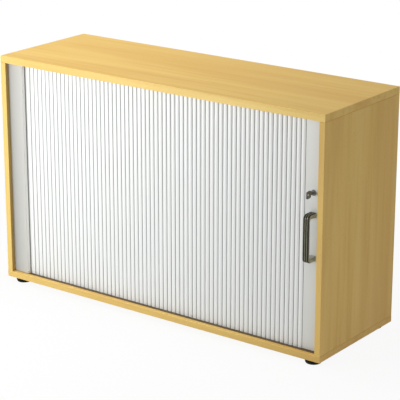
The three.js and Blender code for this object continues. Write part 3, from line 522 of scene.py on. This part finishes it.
SLAT_LOOK = silver("slat_plastic", (228, 230, 229))
WEB_LOOK = silver("web_plastic", (183, 185, 184), (1, 5, 2))
# Painted shade: the bar darkens towards the right panel and the fascia towards the left panel, as if in
# their shade; the fascia's pale right-side tone is a painted highlight
BAR_LOOK = silver("bar_plastic", (212, 214, 211), (4, 2, 0), painted_shade=BAR_PAINTED_SHADE)
FASCIA_LOOK = silver("fascia_plastic", (190, 190, 185), (7, 3, 1), (242, 242, 238), FASCIA_PAINTED_SHADOW)
TRACK_LOOK = moulded("track_plastic", (96, 75, 42), roughness=0.6, pebbles=1700, relief=0.1)
RIDGE_LOOK = dark_metal("handle_ridges", (43, 43, 35), "z", roughness=0.34, metallic=0.8)
FLUTE_LOOK = dark_metal("handle_flutes", (130, 129, 114), "z", roughness=0.3, metallic=0.8)
FLANK_LOOK = dark_metal("handle_flanks", (160, 168, 165), "y", roughness=0.4, metallic=0.25)
LOCK_LOOK = dark_metal("lock_metal", (106, 110, 113), "x", roughness=0.42, metallic=0.2)
STEEL_LOOK = zinc("zinc_steel")
RUBBER_LOOK = moulded("stop_rubber", (40, 40, 43), roughness=0.78, pebbles=1300, relief=0.25)
FOOT_LOOK = moulded("foot_plastic", (6, 5, 4), roughness=0.55, pebbles=1100, relief=0.3, gloss=0.12)
DOWEL_LOOK = plain_beech("dowel_beech")

HIDDEN_EDGING = (0.85, 0.85, 0.85)

# For each board: the way of its grain, where it lies in the decor, its front edging, and any painted shade
# on its inner face
GRAINS = {
    "top_panel": ("x", (0.0, 0.0, 0.0), (0.92, 0.99, 1.06)),
    "bottom_panel": ("x", (3.1, 7.7, 1.3), (0.76, 0.78, 0.79)),
    # The last shares are painted shade on the left panel's inner face
    "left_side_panel": ("z", (9.4, 2.2, 5.1), (0.83, 0.93, 0.99), (0.55, 0.57, 0.64)),
    "right_side_panel": ("z", (1.7, 4.6, 8.2), (0.83, 0.85, 0.85)),
    "back_panel": ("x", (6.3, 8.8, 2.9), HIDDEN_EDGING),
    "inner_back_panel": ("x", (2.5, 9.9, 7.4), HIDDEN_EDGING),
    "inner_left_wall": ("z", (7.2, 0.8, 3.7), HIDDEN_EDGING),
    "centre_partition": ("z", (4.4, 6.1, 0.6), HIDDEN_EDGING),
    "left_shelf": ("x", (8.6, 3.3, 9.5), HIDDEN_EDGING),
    "right_shelf": ("x", (5.8, 1.1, 4.2), HIDDEN_EDGING),
}


def dress_cad_nodes():
    """Gives every CAD node its material. The nodes that a piece replaces are hidden later on."""
    looks = {name: beech(f"beech_{name}", *grain) for name, grain in GRAINS.items()}
    looks["left_fascia"] = FASCIA_LOOK
    looks["leading_bar"] = BAR_LOOK
    looks["open_stop"] = RUBBER_LOOK
    for name in ("upper_track", "lower_track", "lower_runner", "upper_runner"):
        looks[name] = TRACK_LOOK
    for name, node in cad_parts.items():
        look = DOWEL_LOOK if name.startswith("dowel") else looks.get(name, STEEL_LOOK)
        node.data.materials.clear()
        node.data.materials.append(look)


# Curtain

def squashed(piece):
    """Gives the curtain piece a mesh of its own."""
    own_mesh(piece)


def slat_face(left, right, back, front):
    """Front of one slat from left to right: rounded edges and a low crown between them."""
    half = (right - left) / 2 - SLAT_EDGE
    middle = (left + right) / 2
    shoulder = front + SLAT_CROWN + SLAT_EDGE
    radius = (half * half + SLAT_CROWN * SLAT_CROWN) / (2 * SLAT_CROWN)
    reach = math.degrees(math.asin(half / radius))
    points = [(left, back)]
    points += arc((left + SLAT_EDGE, shoulder), SLAT_EDGE, 180, 180 + SLAT_EDGE_TURN, SLAT_EDGE_STEPS)
    points += arc((middle, front + radius), radius, 270 - reach, 270 + reach, CROWN_STEPS)
    points += arc((right - SLAT_EDGE, shoulder), SLAT_EDGE, 360 - SLAT_EDGE_TURN, 360, SLAT_EDGE_STEPS)
    points.append((right, back))
    return points


def slat_back(left, right, web, back):
    """Back of one slat from right to left, flat with eased corners."""
    ease = SLAT_EDGE / 2
    return [(right, web), (right, back - ease), (right - ease, back), (left + ease, back),
            (left, back - ease), (left, web)]


def web_faces(middle):
    """Front and back of the thin web, by the middle of its thickness."""
    return middle - WEB_THICKNESS / 2, middle + WEB_THICKNESS / 2


def curtain_section(number):
    """One section of the curtain: crowned slats joined by thin webs, open in front and behind.

    The webs' fronts and the slats' front flanks beside them have the web's look.
    """
    node = f"curtain_section_{number}"
    low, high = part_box(node)
    web_front, web_back = web_faces((low.y + high.y) / 2)
    count = round((high.x - low.x) / SLAT_PITCH)
    first = (low.x + high.x - count * SLAT_PITCH) / 2
    spans = []
    for i in range(count):
        left = first + i * SLAT_PITCH + JOINT_WIDTH / 2
        spans.append((left, left + SLAT_PITCH - JOINT_WIDTH))
    outline = [(low.x, web_front)]
    second = {0}
    for left, right in spans:
        start = len(outline)
        outline += slat_face(left, right, web_front, low.y)
        second |= {start, len(outline) - 2, len(outline) - 1}
    outline += [(high.x, web_front), (high.x, web_back)]
    for left, right in reversed(spans):
        outline += slat_back(left, right, web_back, high.y)
    outline.append((low.x, web_back))
    mesh = mesh_from(extruded(outline, low.z, high.z, second), f"curtain_slats_{number}")
    squashed(dressed(mesh, [SLAT_LOOK, WEB_LOOK], "carcass", node))


def tail_strip():
    """The plain strip at the curtain's left end, which has started round the bend."""
    node = "curtain_tail_strip"
    low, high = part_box(node)
    front, back = low.y, low.y + TAIL_THICKNESS
    middle = front + TAIL_THICKNESS / 2
    web_front, web_back = web_faces(middle)
    right = high.x - JOINT_WIDTH / 2 + SECTION_GAP / 2
    centre = (BEND_START, middle + BEND_RADIUS)
    turn = math.degrees((TAIL_LENGTH - (right - BEND_START)) / BEND_RADIUS)
    outline = arc(centre, BEND_RADIUS + TAIL_THICKNESS / 2, 270 - turn, 270, BEND_STEPS)
    outline += [(right - TAIL_EASE, front), (right - TAIL_EASE / 3, front + TAIL_EASE / 3)]
    outline += [(right, front + TAIL_EASE), (right, web_front), (high.x, web_front)]
    outline += [(high.x, web_back), (right, web_back), (right, back)]
    outline += arc(centre, BEND_RADIUS - TAIL_THICKNESS / 2, 270, 270 - turn, BEND_STEPS)
    mesh = mesh_from(extruded(outline, low.z, high.z), "curtain_end_strip")
    squashed(dressed(mesh, [SLAT_LOOK], "carcass", node))


# Handle

def handle_lines():
    """Outer and inner line of the bow, seen from its side, as matching points (reach, height)."""
    half = HOLE_SPACING / 2 + LEG_THICKNESS / 2
    turn = HANDLE_REACH - OUTER_ROUND
    inner_base = HOLE_SPACING / 2 - LEG_THICKNESS / 2
    inner_half = inner_base + LEG_TAPER
    inner_turn = HANDLE_REACH - GRIP_THICKNESS - INNER_ROUND
    outer, inner = [], []
    for i in range(HANDLE_STEPS):
        share = i / HANDLE_STEPS
        outer.append((turn * share, half))
        inner.append((inner_turn * share, inner_base + LEG_TAPER * share))
    outer += arc((turn, half - OUTER_ROUND), OUTER_ROUND, 90, 0, 2 * HANDLE_STEPS)
    inner += arc((inner_turn, inner_half - INNER_ROUND), INNER_ROUND, 90, 0, 2 * HANDLE_STEPS)
    outer += [(reach, -height) for reach, height in reversed(outer)]
    inner += [(reach, -height) for reach, height in reversed(inner)]
    return outer, inner


def handle_section():
    """Across the bow: (place across, how far in from the outer face), and the same for the inner."""
    half = HANDLE_WIDTH / 2
    flutes = []
    for middle in (-FLUTE_SPACING / 2, FLUTE_SPACING / 2):
        flutes += [(middle + share * FLUTE_HALF, depth * FLUTE_DEPTH) for share, depth in FLUTE_PROFILE]
    rise = []
    for turn in HANDLE_EDGE_TURNS:
        angle = math.radians(turn)
        rise.append((-half + HANDLE_EDGE * (1 - math.cos(angle)), HANDLE_EDGE * (1 - math.sin(angle))))
    fall = [(-x, depth) for x, depth in reversed(rise)]
    return rise + flutes + fall, rise + fall


def handle_strips(across_out, across_in):
    """The look of each strip along the bow: 0 ridge, 1 floor of a flute, 2 flank and inner face."""
    strips = []
    depths = [depth for x, depth in across_out]
    for (x, depth), next_depth in zip(across_out, depths[1:]):
        between_edges = abs(x) < HANDLE_WIDTH / 2 - HANDLE_EDGE
        strips.append(int(between_edges and min(depth, next_depth) > FLUTE_DEPTH / 4))
    return strips + [2] * (len(across_in) + 1)


def outward(line, index, sign):
    """The way out of the bow, square to its line at one of its points."""
    before, after = line[max(index - 1, 0)], line[min(index + 1, len(line) - 1)]
    along = Vector((after[0] - before[0], after[1] - before[1])).normalized()
    return Vector((-along.y, along.x)) * sign


def half_ring(line, index, sign, across):
    """Points (across, reach, height) of the bow's outer or inner face, at one point of its line."""
    way = outward(line, index, sign)
    points = []
    for x, depth in across:
        reach, height = Vector(line[index]) - way * depth
        points.append((x, max(reach, 0), height))
    return points


def handle_bow():
    """The bow as one closed skin, with two flutes along its outer face and rounded edges."""
    low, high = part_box("handle_bow")
    seat = middle_of(low, high)
    seat.y = high.y
    outer, inner = handle_lines()
    across_out, across_in = handle_section()
    strips = handle_strips(across_out, across_in)
    made = bmesh.new()
    rings = []
    for index in range(len(outer)):
        ring = half_ring(outer, index, 1, across_out) + half_ring(inner, index, -1, reversed(across_in))
        rings.append([made.verts.new((seat.x + x, seat.y - y, seat.z + z)) for x, y, z in ring])
    count = len(rings[0])
    for first, second in zip(rings, rings[1:]):
        for i in range(count):
            j = (i + 1) % count
            face = made.faces.new((first[i], first[j], second[j], second[i]))
            face.material_index = strips[i]
    made.faces.new(rings[0])
    made.faces.new(list(reversed(rings[-1])))
    bmesh.ops.remove_doubles(made, verts=made.verts, dist=WELD_DISTANCE)
    mesh = mesh_from(made, "handle_fluted_bow")
    dressed(mesh, [RIDGE_LOOK, FLUTE_LOOK, FLANK_LOOK], "door", "handle_bow", smooth_angle=50)


# Lock and key

def lock_sleeve():
    """The ring round the plug, with a rounded rim and a small lip inside."""
    low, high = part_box("lock_sleeve")
    centre = middle_of(low, high)
    centre.y = low.y
    length = high.y - low.y
    profile = [(SLEEVE_BORE, SLEEVE_LIP), (SLEEVE_BORE + SLEEVE_LIP, 0)]
    profile += arc((SLEEVE_RADIUS - SLEEVE_ROUND, SLEEVE_ROUND), SLEEVE_ROUND, 270, 360, EDGE_STEPS)
    profile += [(SLEEVE_RADIUS, length), (SLEEVE_BORE, length)]
    mesh = mesh_from(lathe(profile, centre, (0, 1, 0)), "lock_rosette")
    dressed(mesh, [LOCK_LOOK], "door", "lock_sleeve")


def lock_plug():
    """The plug with its keyway, its driver disc and the pin that moves the bolt."""
    low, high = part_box("lock_cylinder")
    centre = middle_of(low, high)
    centre.y = low.y
    length = high.y - low.y
    disc = high.x - centre.x
    driver_end = DRIVER_START + DRIVER_THICKNESS
    profile = [(0, 0), (PLUG_RADIUS - PLUG_EASE, 0), (PLUG_RADIUS, PLUG_EASE), (PLUG_RADIUS, DRIVER_START)]
    profile += [(disc, DRIVER_START), (disc, driver_end), (0, driver_end)]
    plug = mesh_from(lathe(profile, centre, (0, 1, 0)), "plug")
    keyway_end = low.y + BLADE_DEPTH + KEYWAY_ROOM
    keyway = block((centre.x - KEYWAY_HALF_WIDTH, low.y - CUT_OVERSHOOT, centre.z - KEYWAY_HALF_HEIGHT),
                   (centre.x + KEYWAY_HALF_WIDTH, keyway_end, centre.z + KEYWAY_HALF_HEIGHT))
    cut = joined("cut_plug", plug, keyway, "DIFFERENCE")
    pin_profile = [(0, DRIVER_START), (PIN_RADIUS, DRIVER_START), (PIN_RADIUS, length - PIN_EASE)]
    pin_profile += [(PIN_RADIUS - PIN_EASE, length), (0, length)]
    pin_centre = centre + Vector((-PIN_OFFSET, 0, PIN_OFFSET))
    pin = mesh_from(lathe(pin_profile, pin_centre, (0, 1, 0), PIN_STEPS), "pin")
    mesh = joined("lock_plug", cut, pin, "UNION")
    dressed(mesh, [LOCK_LOOK], "lock_cylinder", "lock_cylinder")


def key_bow(front, base, middle):
    """The key's bow from its front to its base: a plate with rounded corners and edges and a ring hole."""
    near, far = base - BOW_ROUND, front + BOW_ROUND
    corner = BOW_HEIGHT / 2 - BOW_ROUND
    outline = []
    for y, z, start in ((near, corner, 0), (far, corner, 90), (far, -corner, 180), (near, -corner, 270)):
        outline += arc((y, z), BOW_ROUND, start, start + 90, BOW_STEPS)
    last = RING_STEPS - 1
    ring = arc((front + RING_RADIUS + BOW_ROUND, 0), RING_RADIUS, 0, 360 * last / RING_STEPS, last)
    curve = bpy.data.curves.new("key_outline", "CURVE")
    curve.dimensions = "2D"
    curve.fill_mode = "BOTH"
    curve.extrude = BOW_THICKNESS / 2 - BOW_EDGE
    curve.bevel_depth = BOW_EDGE
    curve.bevel_resolution = 3
    curve.offset = -BOW_EDGE
    for points in (outline, ring):
        spline = curve.splines.new("POLY")
        spline.points.add(len(points) - 1)
        for point, (y, z) in zip(spline.points, points):
            point.co = (y, z, 0, 1)
        spline.use_cyclic_u = True
    holder = added("key_outline", curve)
    plate = evaluated(holder)
    bpy.data.objects.remove(holder)
    plate.transform(Matrix(((0, 0, 1, middle.x), (1, 0, 0, 0), (0, 1, 0, middle.z), (0, 0, 0, 1))))
    welded = bmesh.new()
    welded.from_mesh(plate)
    bmesh.ops.remove_doubles(welded, verts=welded.verts, dist=WELD_DISTANCE)
    return mesh_from(welded, "bow")


def key():
    """The key: a thin blade and a rounded bow with a hole for a ring."""
    low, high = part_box("key")
    middle = middle_of(low, high)
    base = low.y + BOW_LENGTH
    bow = key_bow(low.y, base, middle)
    blade = block((middle.x - BLADE_THICKNESS / 2, base - BLADE_ROOT, middle.z - BLADE_HEIGHT / 2),
                  (middle.x + BLADE_THICKNESS / 2, high.y, middle.z + BLADE_HEIGHT / 2))
    mesh = joined("key_with_bow", bow, blade, "UNION")
    dressed(mesh, [LOCK_LOOK], "key", "key")


# Feet

def foot(corner):
    """A moulded round foot: domed flank, a fine ring under its top, and a well for its screw."""
    node = f"foot_{corner}"
    low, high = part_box(node)
    centre = middle_of(low, high)
    centre.z = low.z
    top = high.z - low.z
    wide = (high.x - low.x) / 2
    profile = [(FOOT_WELL_RADIUS, FOOT_WELL_EASE), (FOOT_WELL_RADIUS + FOOT_WELL_EASE, 0)]
    profile += arc((FOOT_BASE_RADIUS - FOOT_BASE_ROUND, FOOT_BASE_ROUND), FOOT_BASE_ROUND,
                   270, 270 + FOOT_BASE_TURN, EDGE_STEPS)
    profile += [(FOOT_BASE_RADIUS + out * MM, up * MM) for out, up in FOOT_FLANK]
    profile += [(wide - inward * MM, up * MM) for inward, up in FOOT_RIM]
    profile += [(wide - inward * MM, top - down * MM) for inward, down in FOOT_TOP]
    profile += [(FOOT_BORE_RADIUS, top), (FOOT_BORE_RADIUS, FOOT_WELL_DEPTH)]
    profile += [(FOOT_WELL_RADIUS, FOOT_WELL_DEPTH)]
    mesh = mesh_from(lathe(profile, centre, (0, 0, 1), FOOT_STEPS), f"moulded_foot_{corner}")
    dressed(mesh, [FOOT_LOOK], "carcass", node, smooth_angle=35)


# Studio

def studio_floor():
    """A pale floor that melts into the white of the background and keeps a soft shadow."""
    mesh = bpy.data.meshes.new("studio_floor")
    corners = [(x * FLOOR_HALF, y * FLOOR_HALF, 0) for x, y in ((-1, -1), (1, -1), (1, 1), (-1, 1))]
    mesh.from_pydata(corners, [], [(0, 1, 2, 3)])
    material = bpy.data.materials.new("pale_floor")
    mesh.materials.append(material)
    added("studio_floor", mesh)
    nodes = Nodes(material, "ShaderNodeOutputMaterial")
    pale = nodes.node("ShaderNodeBsdfDiffuse", Color=FLOOR_TONE)
    white = nodes.node("ShaderNodeEmission", Color=WHITE, Strength=1.0)
    away = nodes.node("ShaderNodeVectorMath", Vector=nodes.node("ShaderNodeTexCoord").outputs["Object"])
    away.operation = "LENGTH"
    melt = nodes.ramp(away.outputs["Value"], MELT_START, MELT_END, MELT_SHARE, 1.0)
    seen = nodes.seen_by("Is Camera Ray", "Is Glossy Ray", "Is Transmission Ray")
    nodes.show_mixed(nodes.maths("MULTIPLY", seen, melt), pale, white)


def studio_world():
    """White where the camera or glass sees it, and a plain soft fill for everything else."""
    world = bpy.data.worlds.new("studio_world")
    bpy.context.scene.world = world
    nodes = Nodes(world, "ShaderNodeOutputWorld")
    fill = nodes.node("ShaderNodeBackground", Color=WHITE, Strength=FILL_STRENGTH)
    white = nodes.node("ShaderNodeBackground", Color=WHITE, Strength=1.0)
    nodes.show_mixed(nodes.seen_by("Is Camera Ray", "Is Transmission Ray"), fill, white)


def lamp(name, place, aim, watts):
    """A square soft lamp that shines from its place towards the aim."""
    data = bpy.data.lights.new(name, "AREA")
    data.shape = "SQUARE"
    data.size = LAMP_SIZE
    data.energy = watts
    light = added(name, data)
    light.location = place
    light.rotation_mode = "QUATERNION"
    light.rotation_quaternion = (Vector(aim) - Vector(place)).to_track_quat("-Z", "Y")


def camera():
    """The camera of the photograph."""
    data = bpy.data.cameras.new("camera")
    data.lens = CAMERA_LENS
    data.sensor_width = CAMERA_SENSOR
    data.clip_start, data.clip_end = CAMERA_CLIP
    made = added("camera", data)
    made.location = CAMERA_PLACE
    made.rotation_euler = Euler([math.radians(turn) for turn in CAMERA_TURN])
    bpy.context.scene.camera = made


camera()
studio_world()
studio_floor()
lamp("front_lamp", place=(-0.8, -1.5, 0.68), aim=(0, 0, 0.4), watts=17.7)
lamp("top_lamp", place=(-0.65, -0.1, 2.15), aim=(-0.2, 0, 0.7), watts=14.8)
bpy.context.scene.view_settings.view_transform = "Standard"

dress_cad_nodes()
for number in range(1, SECTION_COUNT + 1):
    curtain_section(number)
tail_strip()
handle_bow()
lock_sleeve()
lock_plug()
key()
for corner in ("front_left", "front_right", "rear_left", "rear_right"):
    foot(corner)
